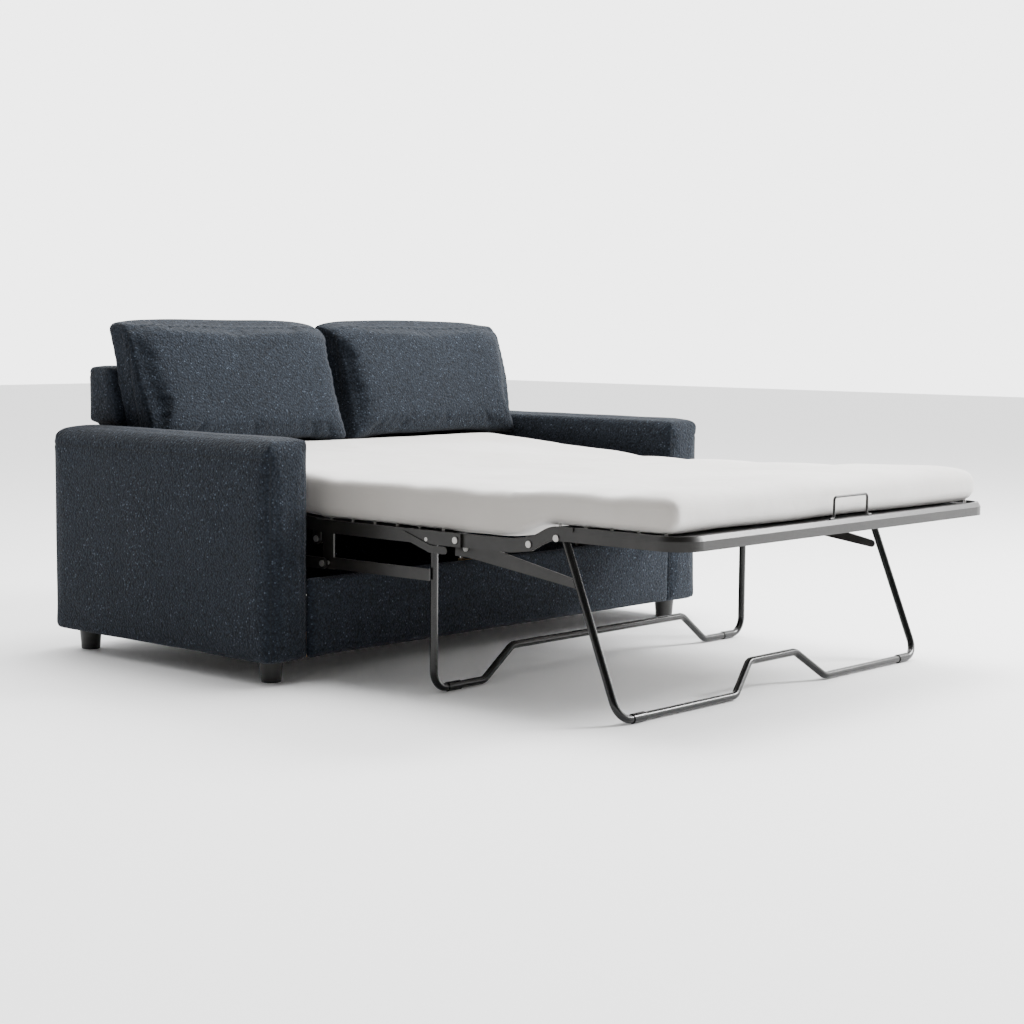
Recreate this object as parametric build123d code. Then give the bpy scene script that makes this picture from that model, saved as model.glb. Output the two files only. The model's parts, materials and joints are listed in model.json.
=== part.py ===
from build123d import *
import math
import os

# Two-seat sleeper sofa with its bed pulled out.  Millimetres, +Z up.
# The sofa front faces -Y, X = 0 is the middle of the seat, and the origin is
# the centre of the whole footprint on the floor.

# Overall sizes
WIDTH = 1748.0
SOFA_DEPTH = 880.0
OPEN_LENGTH = 1980.0
FRONT_Y = OPEN_LENGTH / 2 - SOFA_DEPTH
REAR_Y = OPEN_LENGTH / 2
FOOT_Y = -OPEN_LENGTH / 2
HALF_WIDTH = WIDTH / 2

# Upholstered body
FLOOR_GAP = 57.0
ARM_WIDTH = 140.0
ARM_TOP = 610.0
ARM_WALL = 18.0
ARM_PAD = 30.0
ARM_INNER_X = HALF_WIDTH - ARM_WIDTH
FRONT_RAIL_TOP = 262.0
FRONT_RAIL_THICK = 25.0
BACK_TOP = 769.0
BACK_HALF_WIDTH = 756.0
PANEL_THICK = 18.0
CUSHION_BOTTOM = 552.0
CUSHION_TOP = 903.0
SIDE_GAP = 1.5

# Feet
FOOT_INSET = 71.0
FOOT_TOP_R = 30.0
FOOT_BOTTOM_R = 25.0

# Side planes of the mechanism, as distances from X = 0
RAIL_OUT = 670.0
RAIL_IN = 664.0
RAIL_HEIGHT = 33.0
LINK_OUT = 663.5
LINK_IN = 658.5
SIDE_BAR_IN = 659.0
SEAT_OUT = 658.0
SEAT_IN = 652.0
HEAD_OUT = 664.5
HEAD_IN = 658.5
LIFT_OUT = 685.0
LIFT_IN = 680.0
LEG_X = 640.0
BRACE_OUT = 627.0
BRACE_IN = 623.0
FOOT_RAIL_IN = 656.0

# Tubes, pins and sheets
TUBE_R = 9.5
TUBE_WALL = 1.5
COLLAR_R = 11.5
COLLAR_LENGTH = 44.0
COLLAR_X = 571.0
LEG_AXIS_Z = 11.5
LEG_BEND_R = 45.0
PIN_R = 5.0
PIN_FIT = 0.05
HEAD_R = 8.0
HEAD_THICK = 3.0
SHEET = 2.5
STRIP = 4.0
STRIP_WIDTH = 24.0
WIRE_R = 3.0

# Pivots in the side view: distance behind the sofa front, height
LIFT_PIVOT = (286.4, 292.0)
CARRY_PIVOT = (12.0, 292.0)
FOLD_REAR_PIVOT = (-430.0, 383.0)
FOLD_FRONT_PIVOT = (-660.0, 392.0)
SEAT_PIVOT = (50.0, 350.0)
REAR_LEG_PIVOT = (-333.0, 378.0)
FRONT_LEG_PIVOT = (-742.0, 412.0)
REAR_LEG_FOOT = (-333.0, LEG_AXIS_Z)
FRONT_LEG_FOOT = (-905.0, LEG_AXIS_Z)
BRACE_PIVOT = (-425.0, 361.0)
BRACE_END = (-770.0, 305.0)

# Raised middle of each crossbar: where it leaves the floor, where it is level
# again, how far it rises, and its bend radius
REAR_BRIDGE = (461.0, 356.0, 76.0, 38.0)
FRONT_BRIDGE = (194.0, 100.0, 74.0, 34.0)

# Half widths of the deck cloths
BODY_DECK_HALF = 648.0
FOOT_DECK_HALF = 642.0
REAR_DECK_HALF = 636.0

# Deck heights and section lengths
BODY_RAIL_Z = 383.5
FOOT_RAIL_Z = 422.5
REAR_TILT = 4.0
SEAT_LENGTH = 300.0
HEAD_LENGTH = 340.0
SEAT_RISE = 34.0
REAR_BAR_Z = SEAT_RISE - 7.0
END_CORNER_R = 63.0
FOOT_RAIL_THICK = RAIL_OUT - FOOT_RAIL_IN

# Mattress
MATTRESS_HALF_WIDTH = 666.0
MATTRESS_THICK = 104.0
MATTRESS_GAP = 4.0
MATTRESS_EDGE = 24.0

SIDES = (("left", -1), ("right", 1))


def along(y):
    """Turn a distance behind the sofa front into a Y position."""
    return FRONT_Y + y


def extrude_x(profile, width):
    """Extrude a side-view profile towards +X."""
    return extrude(Plane.YZ * profile, width, dir=(1, 0, 0))


def side_plate(profile, x_a, x_b, sign):
    """Extrude a side-view profile between two distances from X = 0."""
    low = min(sign * x_a, sign * x_b)
    return Pos(low, FRONT_Y, 0) * extrude_x(profile, abs(x_b - x_a))


def slot(p, q, height):
    """Flat bar outline with round ends centred on two points."""
    length = math.dist(p, q)
    turn = math.degrees(math.atan2(q[1] - p[1], q[0] - p[0]))
    middle = Pos((p[0] + q[0]) / 2, (p[1] + q[1]) / 2)
    return middle * Rot(0, 0, turn) * SlotCenterToCenter(length, height)


def hole(p, radius=PIN_R + PIN_FIT):
    return Pos(p[0], p[1]) * Circle(radius)


def rectangle(y_a, y_b, z_a, z_b):
    return Pos((y_a + y_b) / 2, (z_a + z_b) / 2) * Rectangle(abs(y_b - y_a), abs(z_b - z_a))


def block(x_a, x_b, y_a, y_b, z_a, z_b):
    centre = Pos((x_a + x_b) / 2, (y_a + y_b) / 2, (z_a + z_b) / 2)
    return centre * Box(abs(x_b - x_a), abs(y_b - y_a), abs(z_b - z_a))


def cylinder_x(sign, x_a, x_b, radius):
    low = min(sign * x_a, sign * x_b)
    return Pos(low, 0, 0) * extrude_x(Circle(radius), abs(x_b - x_a))


def pin(p, x_in, x_out, sign, head_in=True, head_out=True):
    """Headed pin along X through a pivot."""
    body = side_plate(hole(p, PIN_R), x_in, x_out, sign)
    if head_in:
        body += side_plate(hole(p, HEAD_R), x_in - HEAD_THICK, x_in, sign)
    if head_out:
        body += side_plate(hole(p, HEAD_R), x_out, x_out + HEAD_THICK, sign)
    return body


def tube(path, radius=TUBE_R, wall=TUBE_WALL):
    """Hollow round tube swept along a wire."""
    start = Plane(origin=path @ 0, z_dir=path % 0)
    return sweep(start * (Circle(radius) - Circle(radius - wall)), path)


def group(solids):
    return Compound(children=list(solids))


# ---------------------------------------------------------------- sofa body

def arm_profile(inset=0.0):
    """Side outline of an arm, with its corner radii."""
    y_a, y_b = FRONT_Y + inset, REAR_Y - inset
    face = rectangle(y_a, y_b, FLOOR_GAP + inset, ARM_TOP - inset)
    rear_top = face.vertices().sort_by_distance((y_b, ARM_TOP, 0))[0]
    face = fillet(rear_top, 50 - inset)
    lower = face.vertices().group_by(Axis.Y)[0]
    face = fillet(lower, 22)
    front_top = face.vertices().sort_by_distance((y_a, ARM_TOP, 0))[0]
    return fillet(front_top, 20)


def arm(sign):
    """Padded arm casing: a hollow shell, open underneath for its frame."""
    outer, inner = sign * HALF_WIDTH, sign * ARM_INNER_X
    casing = Pos(min(outer, inner), 0, 0) * extrude_x(arm_profile(), ARM_WIDTH)
    top = [e for e in casing.edges() if e.center().Z > ARM_TOP - 1 and e.length > ARM_WIDTH + 1]
    top.sort(key=lambda e: abs(e.center().X))
    casing = fillet(top[-1], 40)
    inner_edge = [e for e in casing.edges() if e.center().Z > ARM_TOP - 1 and e.length > ARM_WIDTH + 1]
    inner_edge.sort(key=lambda e: abs(e.center().X))
    casing = fillet(inner_edge[0], 24)
    cavity = block(
        sign * (ARM_INNER_X + ARM_WALL), sign * (HALF_WIDTH - ARM_WALL),
        FRONT_Y + ARM_WALL, REAR_Y - ARM_WALL, FLOOR_GAP - 1, ARM_TOP - 2 * ARM_PAD,
    )
    return casing - cavity


def arm_frame(sign):
    """Wooden box frame that fills the arm casing."""
    x_a = sign * (ARM_INNER_X + ARM_WALL + 12)
    x_b = sign * (HALF_WIDTH - ARM_WALL - 12)
    y_a, y_b = FRONT_Y + ARM_WALL, REAR_Y - ARM_WALL
    z_a, z_b = FLOOR_GAP, ARM_TOP - 2 * ARM_PAD
    window = block(x_a, x_b, y_a + 80, y_b - 80, z_a + 60, z_b - 60)
    return block(x_a, x_b, y_a, y_b, z_a, z_b) - window


def front_rail():
    board = block(-ARM_INNER_X, ARM_INNER_X, FRONT_Y, FRONT_Y + FRONT_RAIL_THICK, FLOOR_GAP, FRONT_RAIL_TOP)
    upper = board.edges().filter_by(Axis.X).group_by(Axis.Z)[-1]
    return fillet(upper, 8)


def back_panel():
    return block(-ARM_INNER_X, ARM_INNER_X, REAR_Y - PANEL_THICK, REAR_Y, FLOOR_GAP, ARM_TOP)


def back_rest():
    """Upholstered back rail: its front leans back behind the loose cushions."""
    low = ARM_TOP + 2
    upper = Polygon((852, low), (888, BACK_TOP), (REAR_Y, BACK_TOP), (REAR_Y, low), align=None)
    upper = fillet(upper.vertices().group_by(Axis.Y)[-1], 14)
    body = Pos(-BACK_HALF_WIDTH, 0, 0) * extrude_x(upper, 2 * BACK_HALF_WIDTH)
    top = [e for e in body.edges() if e.center().Z > BACK_TOP - 60]
    ends = [e for e in top if abs(e.center().X) > BACK_HALF_WIDTH - 1]
    body = fillet(ends, 9)
    inner = ARM_INNER_X - SIDE_GAP
    lower = block(-inner, inner, 852, REAR_Y - PANEL_THICK, 545, ARM_TOP + 2)
    return body + lower


def back_cushion(sign):
    """Plain solid of one loose back cushion, leaning on the back rail."""
    side = Polygon((730, CUSHION_BOTTOM), (843, CUSHION_TOP), (908, CUSHION_TOP), (884, BACK_TOP),
                   (848, ARM_TOP + 2), (846, CUSHION_BOTTOM), align=None)
    corners = side.vertices().group_by(Axis.Y)
    side = fillet(corners[-1] + corners[0][:1], 26)
    width = ARM_INNER_X - 2 * SIDE_GAP
    start = SIDE_GAP if sign > 0 else -SIDE_GAP - width
    return Pos(start, 0, 0) * extrude_x(side, width)


def base_boards():
    """Two long boards that tie the front rail to the back panel."""
    y_a, y_b = FRONT_Y + FRONT_RAIL_THICK, REAR_Y - PANEL_THICK
    low, high = FLOOR_GAP + SHEET, FLOOR_GAP + SHEET + 60
    return group(block(s * (ARM_INNER_X - 20), s * ARM_INNER_X, y_a, y_b, low, high) for _, s in SIDES)


def dust_cover():
    y_a, y_b = FRONT_Y + FRONT_RAIL_THICK, REAR_Y - PANEL_THICK
    return block(-ARM_INNER_X, ARM_INNER_X, y_a, y_b, FLOOR_GAP, FLOOR_GAP + SHEET)


def foot(x, y):
    """Round tapered foot with a softened lower rim."""
    body = Pos(x, y, FLOOR_GAP / 2) * Cone(FOOT_BOTTOM_R, FOOT_TOP_R, FLOOR_GAP)
    rim = body.edges().group_by(Axis.Z)[0]
    return fillet(rim, 2.5)


# ------------------------------------------------------- fixed mechanism parts

def mechanism_bracket(sign):
    """Plate bolted inside an arm, with the boss that carries the lift pivot."""
    plate = side_plate(rectangle(196, 376, 190, 330), ARM_INNER_X - STRIP, ARM_INNER_X, sign)
    boss = side_plate(hole(LIFT_PIVOT, 15), LIFT_OUT + 0.5, ARM_INNER_X - STRIP, sign)
    return plate + boss - side_plate(hole(LIFT_PIVOT), LIFT_OUT, ARM_INNER_X, sign)


def bracket_bolts():
    spots = [(212, 206), (360, 206), (212, 314), (360, 314)]
    x_in = ARM_INNER_X - 2 * STRIP
    return group(
        side_plate(Pos(*p) * RegularPolygon(7, 6), x_in, x_in + STRIP, s) for _, s in SIDES for p in spots
    )


def lift_pins():
    return group(pin(LIFT_PIVOT, LIFT_IN, ARM_INNER_X, s, head_out=False) for _, s in SIDES)


# ------------------------------------------------------------ body section

def lift_link(sign):
    outline = slot(LIFT_PIVOT, CARRY_PIVOT, 29) - hole(LIFT_PIVOT) - hole(CARRY_PIVOT)
    return side_plate(outline, LIFT_IN, LIFT_OUT, sign)


def body_rail(sign):
    """Flat side rail of the middle section, with a lug for the seat hinge."""
    half = RAIL_HEIGHT / 2
    outline = rectangle(-446, 52, BODY_RAIL_Z - half, BODY_RAIL_Z + half)
    outline += slot((SEAT_PIVOT[0], BODY_RAIL_Z), SEAT_PIVOT, 28)
    for pivot in (FOLD_REAR_PIVOT, REAR_LEG_PIVOT, SEAT_PIVOT):
        outline -= hole(pivot)
    return side_plate(outline, RAIL_IN, RAIL_OUT, sign)


def side_bar(sign):
    """Drop post and the low bar that it carries towards the rear leg."""
    outline = rectangle(-6, 32, 276, 400) + rectangle(-338, 32, 277.5, 306.5)
    outline -= hole(CARRY_PIVOT)
    return side_plate(outline, SIDE_BAR_IN, RAIL_IN, sign)


def deck_bar(y):
    """Flat cross bar under the edge of the middle deck."""
    top = BODY_RAIL_Z + 10
    return block(-RAIL_IN, RAIL_IN, along(y), along(y) + STRIP_WIDTH, top - STRIP, top)


def body_deck():
    top = BODY_RAIL_Z + 10
    return block(-BODY_DECK_HALF, BODY_DECK_HALF, along(-408), along(38), top, top + SHEET)


def brace_bracket(sign):
    """Small angle plate that holds a brace under the middle section."""
    plate_in = BRACE_IN - 5
    plate = side_plate(rectangle(-447, -385, 339, 389), plate_in, BRACE_IN - 0.5, sign)
    arm_strip = side_plate(rectangle(-411, -386, 385, 389), plate_in, RAIL_IN, sign)
    return plate + arm_strip - side_plate(hole(BRACE_PIVOT), plate_in, BRACE_IN, sign)


def leg_stays():
    """Bent straps outside the rails, from the rail to the rear-leg bracket."""
    outline = slot((-262, 384), (-350, 356), 18) + slot((-350, 356), (-396, 356), 18)
    return group(side_plate(outline, RAIL_OUT, RAIL_OUT + HEAD_THICK, s) for _, s in SIDES)


def body_pins():
    solids = []
    for _, sign in SIDES:
        solids.append(pin(CARRY_PIVOT, SIDE_BAR_IN, LIFT_OUT + 0.5, sign, head_in=False))
        solids.append(pin(FOLD_REAR_PIVOT, LINK_IN - 0.5, RAIL_OUT, sign))
        solids.append(pin(SEAT_PIVOT, SEAT_IN - 0.5, RAIL_OUT, sign))
        solids.append(pin(REAR_LEG_PIVOT, LEG_X - TUBE_R - 0.5, RAIL_OUT, sign, head_out=False))
        solids.append(pin(BRACE_PIVOT, BRACE_IN - 5, BRACE_OUT + 0.5, sign))
    return group(solids)


# -------------------------------------------------------------------- legs

def leg_path(top, foot_point, sign):
    """Centre line of one leg tube, in the leg's own plane, bent inwards at the floor."""
    drop = math.dist(top, foot_point)
    lean = math.degrees(math.atan2(top[0] - foot_point[0], top[1] - foot_point[1]))
    plane = Plane(origin=(0, along(top[0]), top[1]), x_dir=(1, 0, 0), z_dir=(0, -1, 0)).rotated((-lean, 0, 0))
    points = [(sign * LEG_X, 9), (sign * LEG_X, -drop), (sign * COLLAR_X, -drop)]
    return plane, FilletPolyline(*points, radius=LEG_BEND_R)


def leg(top, foot_point, sign):
    plane, path = leg_path(top, foot_point, sign)
    return tube(plane * path) - side_plate(hole(top), LEG_X - 2 * TUBE_R, LEG_X + 2 * TUBE_R, sign)


def crossbar(top, foot_point, low_x, high_x, rise, bend):
    """Foot tube between two legs, raised in the middle within the legs' plane."""
    plane, _ = leg_path(top, foot_point, 1)
    drop = math.dist(top, foot_point)
    half = [(COLLAR_X, -drop), (low_x, -drop), (high_x, rise - drop)]
    points = half + [(-x, z) for x, z in reversed(half)]
    return tube(plane * FilletPolyline(*points, radius=bend))


def collars(foot_point):
    """Swaged sleeves over the joints between the legs and their crossbar."""
    ring = Circle(COLLAR_R) - Circle(TUBE_R + PIN_FIT)
    half = COLLAR_LENGTH / 2
    return group(
        Pos(s * COLLAR_X - half, along(foot_point[0]), foot_point[1]) * extrude_x(ring, COLLAR_LENGTH)
        for _, s in SIDES
    )


def brace(sign):
    """Tapered brace plate, wide at its bracket and narrow at the front leg."""
    outline = make_hull(hole(BRACE_PIVOT, 21).edges() + hole(BRACE_END, 10).edges())
    plate = side_plate(outline - hole(BRACE_PIVOT), BRACE_IN, BRACE_OUT, sign)
    return plate + side_plate(hole(BRACE_END, 6), BRACE_OUT, BRACE_OUT + 2.5, sign)


# ------------------------------------------------------------ foot section

def fold_link(sign):
    """Dipped link that leaves room for the folded mattress."""
    middle = (-600.0, 384.0)
    outline = slot(FOLD_REAR_PIVOT, middle, RAIL_HEIGHT) + slot(middle, FOLD_FRONT_PIVOT, RAIL_HEIGHT)
    outline -= hole(FOLD_REAR_PIVOT) + hole(FOLD_FRONT_PIVOT)
    return side_plate(outline, LINK_IN, LINK_OUT, sign)


def foot_rail(sign):
    """Side rail of the foot section: a flat tongue that sweeps up to the thicker rail."""
    half = RAIL_HEIGHT / 2
    y_low, y_high = FOLD_FRONT_PIVOT[0] + 12, -745.0
    z_low, z_high = FOLD_FRONT_PIVOT[1], FOOT_RAIL_Z
    top = Spline((y_low, z_low + half), (y_high, z_high + half), tangents=((-1, 0.05), (-1, 0)))
    bottom = Spline((y_high, z_high - half), (y_low, z_low - half), tangents=((1, 0), (1, -0.05)))
    ends = [Line(top @ 1, bottom @ 0), Line(bottom @ 1, top @ 0)]
    tongue = make_face([top, ends[0], bottom, ends[1]]) + hole(FOLD_FRONT_PIVOT, half)
    tongue += rectangle(y_high, -790, z_high - half, z_high + half)
    tongue -= hole(FOLD_FRONT_PIVOT) + hole(FRONT_LEG_PIVOT)
    plate = side_plate(tongue, RAIL_IN, RAIL_OUT, sign)
    corner_y = along(-790)
    return plate + extrude_rail(sign, corner_y, FOOT_Y + END_CORNER_R + FOOT_RAIL_THICK / 2)


def rail_section():
    """Section of the foot rail: its outer upper edge is bevelled."""
    half_t, half_h = FOOT_RAIL_THICK / 2, RAIL_HEIGHT / 2
    bevel = [(half_t, half_h - 11), (half_t - 6, half_h)]
    points = [(-half_t, -half_h), (half_t, -half_h), *bevel, (-half_t, half_h)]
    return Polygon(*points, align=None)


def extrude_rail(sign, y_from, y_to):
    x_mid = sign * (RAIL_OUT + FOOT_RAIL_IN) / 2
    plane = Plane(origin=(x_mid, y_from, FOOT_RAIL_Z), x_dir=(sign, 0, 0), z_dir=(0, -sign, 0))
    return extrude(plane * rail_section(), sign * (y_from - y_to))


def foot_end_rail():
    """End rail that turns round both foot corners in one bend each."""
    x_mid = (RAIL_OUT + FOOT_RAIL_IN) / 2
    y_end = FOOT_Y + FOOT_RAIL_THICK / 2
    y_start = y_end + END_CORNER_R
    path = FilletPolyline((-x_mid, y_start), (-x_mid, y_end), (x_mid, y_end), (x_mid, y_start),
                          radius=END_CORNER_R - 0.01)
    path = Pos(0, 0, FOOT_RAIL_Z) * path
    start = Plane(origin=(-x_mid, y_start, FOOT_RAIL_Z), x_dir=(-1, 0, 0), z_dir=(0, -1, 0))
    return sweep(start * mirror(rail_section(), Plane.XZ), path)


def retainer_loop():
    """Wire loop at the foot end that keeps the mattress from sliding off."""
    half, rise, spread = 72.5, 51.0, 17.0
    z = FOOT_RAIL_Z + RAIL_HEIGHT / 2 + WIRE_R
    y = FOOT_Y + FOOT_RAIL_THICK / 2 + 1
    points = [(-half - spread, y, z), (-half, y, z), (-half, y, z + rise), (half, y, z + rise), (half, y, z),
              (half + spread, y, z)]
    path = FilletPolyline(*points, radius=9)
    return sweep(Plane(origin=path @ 0, z_dir=path % 0) * Circle(WIRE_R), path)


def foot_rear_bar():
    y = along(-724)
    return block(-FOOT_RAIL_IN, FOOT_RAIL_IN, y, y + STRIP_WIDTH, FOOT_RAIL_Z + 4, FOOT_RAIL_Z + 8)


def foot_deck():
    top = FOOT_RAIL_Z + 8
    return block(-FOOT_DECK_HALF, FOOT_DECK_HALF, FOOT_Y + 34, along(-706), top, top + SHEET)


def foot_pins():
    solids = []
    for _, sign in SIDES:
        solids.append(pin(FOLD_FRONT_PIVOT, LINK_IN - 0.5, RAIL_OUT, sign))
        solids.append(pin(FRONT_LEG_PIVOT, LEG_X - TUBE_R - 0.5, RAIL_OUT, sign))
    return group(solids)


# ------------------------------------------------------ seat and head sections

def seat_frame_at():
    """Local frame of the seat section: origin on its hinge, Y along the tilted deck."""
    return Pos(0, along(SEAT_PIVOT[0]), SEAT_PIVOT[1]) * Rot(REAR_TILT, 0, 0)


def seat_frame():
    """Two flat rails joined by two cross bars."""
    end = (SEAT_LENGTH, SEAT_RISE)
    outline = slot((0, SEAT_RISE), end, RAIL_HEIGHT) + slot((0, 0), (0, SEAT_RISE), 26)
    outline -= hole((0, 0)) + hole(end)
    frame = [Pos(s * (SEAT_IN + SEAT_OUT) / 2 - 3, 0, 0) * extrude_x(outline, 6) for _, s in SIDES]
    z = REAR_BAR_Z
    bars = [block(-SEAT_IN, SEAT_IN, y, y + STRIP_WIDTH, z, z + STRIP) for y in (18, SEAT_LENGTH - 48)]
    return seat_frame_at() * (frame[0] + frame[1] + bars[0] + bars[1])


def seat_deck():
    z = REAR_BAR_Z + STRIP
    return seat_frame_at() * block(-REAR_DECK_HALF, REAR_DECK_HALF, 12, SEAT_LENGTH - 18, z, z + SHEET)


def seat_pins():
    middle = seat_frame_at() * Pos(0, SEAT_LENGTH, SEAT_RISE)
    solids = []
    for _, sign in SIDES:
        shaft = cylinder_x(sign, SEAT_IN, HEAD_OUT + 0.5, PIN_R)
        heads = cylinder_x(sign, SEAT_IN - HEAD_THICK, SEAT_IN, HEAD_R)
        heads += cylinder_x(sign, HEAD_OUT + 0.5, HEAD_OUT + 0.5 + HEAD_THICK, HEAD_R)
        solids.append(middle * (shaft + heads))
    return group(solids)


def head_frame():
    """U-shaped frame of the head section, pivoted at the end of the seat rails."""
    outline = slot((SEAT_LENGTH, SEAT_RISE), (SEAT_LENGTH + HEAD_LENGTH - 17, SEAT_RISE), RAIL_HEIGHT)
    outline -= hole((SEAT_LENGTH, SEAT_RISE))
    rails = [Pos(s * (HEAD_IN + HEAD_OUT) / 2 - 3, 0, 0) * extrude_x(outline, 6) for _, s in SIDES]
    z = REAR_BAR_Z
    ends = (SEAT_LENGTH + 56, SEAT_LENGTH + HEAD_LENGTH - 34)
    bars = [block(-HEAD_IN, HEAD_IN, y, y + STRIP_WIDTH, z, z + STRIP) for y in ends]
    return seat_frame_at() * (rails[0] + rails[1] + bars[0] + bars[1])


def head_deck():
    z = REAR_BAR_Z + STRIP
    y_a, y_b = SEAT_LENGTH + 26, SEAT_LENGTH + HEAD_LENGTH - 8
    return seat_frame_at() * block(-REAR_DECK_HALF, REAR_DECK_HALF, y_a, y_b, z, z + SHEET)


# ---------------------------------------------------------------- mattress

def mattress_block(profile):
    """Mattress section with its side edges rounded."""
    body = Pos(-MATTRESS_HALF_WIDTH, 0, 0) * extrude_x(profile, 2 * MATTRESS_HALF_WIDTH)
    long_edges = [e for e in body.edges() if abs(e.center().X) > MATTRESS_HALF_WIDTH - 1
                  and abs((e @ 1 - e @ 0).Y) > 200 and (e @ 0).Z > 450]
    return fillet(long_edges, MATTRESS_EDGE)


def mattress_foot():
    body_z = BODY_RAIL_Z + RAIL_HEIGHT / 2 + 1
    foot_z = FOOT_RAIL_Z + RAIL_HEIGHT / 2 + 1
    y_end, y_start = along(-1078), along(-552)
    points = [(y_start, body_z), (along(-600), body_z + 2), (along(-645), body_z + 9),
              (along(-698), foot_z - 4), (along(-740), foot_z), (y_end, foot_z),
              (y_end, foot_z + 92), (y_start, body_z + MATTRESS_THICK)]
    side = Polygon(*points, align=None)
    end_corner = side.vertices().sort_by_distance((y_end, foot_z + 92, 0))[0]
    return mattress_block(fillet(end_corner, MATTRESS_EDGE))


def mattress_body():
    z = BODY_RAIL_Z + RAIL_HEIGHT / 2 + 1
    y_a, y_b = along(-552) + MATTRESS_GAP, along(SEAT_PIVOT[0]) - MATTRESS_GAP
    return mattress_block(rectangle(y_a, y_b, z, z + MATTRESS_THICK))


def rear_mattress(y_a, y_b):
    """Mattress section on the tilted rear decks."""
    z = SEAT_RISE + RAIL_HEIGHT / 2 + 1
    body = block(-MATTRESS_HALF_WIDTH, MATTRESS_HALF_WIDTH, y_a, y_b, z, z + MATTRESS_THICK)
    return seat_frame_at() * body


# ------------------------------------------------------------------- parts

def all_parts():
    """Every node of the sofa, by name."""
    parts = {
        "front_rail": front_rail(),
        "back_panel": back_panel(),
        "back_rest": back_rest(),
        "base_boards": base_boards(),
        "dust_cover": dust_cover(),
        "bracket_bolts": bracket_bolts(),
        "lift_pins": lift_pins(),
        "body_front_bar": deck_bar(-380),
        "body_rear_bar": deck_bar(-34),
        "body_deck": body_deck(),
        "leg_stays": leg_stays(),
        "body_pins": body_pins(),
        "rear_crossbar": crossbar(REAR_LEG_PIVOT, REAR_LEG_FOOT, *REAR_BRIDGE),
        "rear_leg_collars": collars(REAR_LEG_FOOT),
        "front_crossbar": crossbar(FRONT_LEG_PIVOT, FRONT_LEG_FOOT, *FRONT_BRIDGE),
        "front_leg_collars": collars(FRONT_LEG_FOOT),
        "foot_end_rail": foot_end_rail(),
        "foot_rear_bar": foot_rear_bar(),
        "foot_deck": foot_deck(),
        "retainer_loop": retainer_loop(),
        "foot_pins": foot_pins(),
        "seat_frame": seat_frame(),
        "seat_deck": seat_deck(),
        "seat_pins": seat_pins(),
        "head_frame": head_frame(),
        "head_deck": head_deck(),
        "mattress_foot": mattress_foot(),
        "mattress_body": mattress_body(),
        "mattress_seat": rear_mattress(4 * MATTRESS_GAP, SEAT_LENGTH - MATTRESS_GAP),
        "mattress_head": rear_mattress(SEAT_LENGTH + MATTRESS_GAP, SEAT_LENGTH + HEAD_LENGTH + 8),
    }
    for side, sign in SIDES:
        parts[f"arm_{side}"] = arm(sign)
        parts[f"arm_frame_{side}"] = arm_frame(sign)
        parts[f"back_cushion_{side}"] = back_cushion(sign)
        parts[f"mechanism_bracket_{side}"] = mechanism_bracket(sign)
        parts[f"lift_link_{side}"] = lift_link(sign)
        parts[f"body_rail_{side}"] = body_rail(sign)
        parts[f"side_bar_{side}"] = side_bar(sign)
        parts[f"brace_bracket_{side}"] = brace_bracket(sign)
        parts[f"brace_{side}"] = brace(sign)
        parts[f"fold_link_{side}"] = fold_link(sign)
        parts[f"foot_rail_{side}"] = foot_rail(sign)
        parts[f"rear_leg_{side}"] = leg(REAR_LEG_PIVOT, REAR_LEG_FOOT, sign)
        parts[f"front_leg_{side}"] = leg(FRONT_LEG_PIVOT, FRONT_LEG_FOOT, sign)
        foot_x = sign * (HALF_WIDTH - FOOT_INSET)
        parts[f"sofa_foot_front_{side}"] = foot(foot_x, FRONT_Y + FOOT_INSET)
        parts[f"sofa_foot_rear_{side}"] = foot(foot_x, REAR_Y - FOOT_INSET)
    return parts


os.makedirs("parts", exist_ok=True)
for name, shape in all_parts().items():
    export_step(shape, f"parts/{name}.step")
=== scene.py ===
import json
import logging
import math
from dataclasses import dataclass
from enum import Enum
from typing import Any, Callable, ClassVar

import bmesh
import bpy
import numpy as np
from mathutils import Matrix, Vector, noise


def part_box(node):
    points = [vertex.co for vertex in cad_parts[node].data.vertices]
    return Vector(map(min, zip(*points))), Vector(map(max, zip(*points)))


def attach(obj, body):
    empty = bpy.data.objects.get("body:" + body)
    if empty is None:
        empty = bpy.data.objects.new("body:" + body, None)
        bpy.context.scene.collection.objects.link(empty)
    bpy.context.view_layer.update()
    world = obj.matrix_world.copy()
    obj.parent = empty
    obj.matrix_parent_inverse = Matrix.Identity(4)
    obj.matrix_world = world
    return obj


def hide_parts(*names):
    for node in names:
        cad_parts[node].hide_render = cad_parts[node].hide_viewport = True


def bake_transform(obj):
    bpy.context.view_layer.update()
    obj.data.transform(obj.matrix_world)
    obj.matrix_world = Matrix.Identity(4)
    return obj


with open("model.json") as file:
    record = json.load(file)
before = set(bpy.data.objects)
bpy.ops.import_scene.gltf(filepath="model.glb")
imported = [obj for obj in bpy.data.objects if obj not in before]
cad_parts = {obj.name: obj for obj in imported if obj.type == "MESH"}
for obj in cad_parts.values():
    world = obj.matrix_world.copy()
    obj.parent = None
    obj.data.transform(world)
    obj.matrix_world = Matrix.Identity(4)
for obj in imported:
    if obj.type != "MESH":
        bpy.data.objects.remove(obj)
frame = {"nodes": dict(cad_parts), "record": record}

logging.basicConfig(level=logging.INFO, format="%(levelname)s %(message)s")
LOG = logging.getLogger("sleeper_sofa")

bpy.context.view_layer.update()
NODES = frame["nodes"]
Point = tuple[float, float, float]
Profile = list[tuple[float, float]]
Height = float | bpy.types.NodeSocket
Colour = Point | bpy.types.NodeSocket
Measure = Callable[[np.ndarray], np.ndarray]


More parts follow.
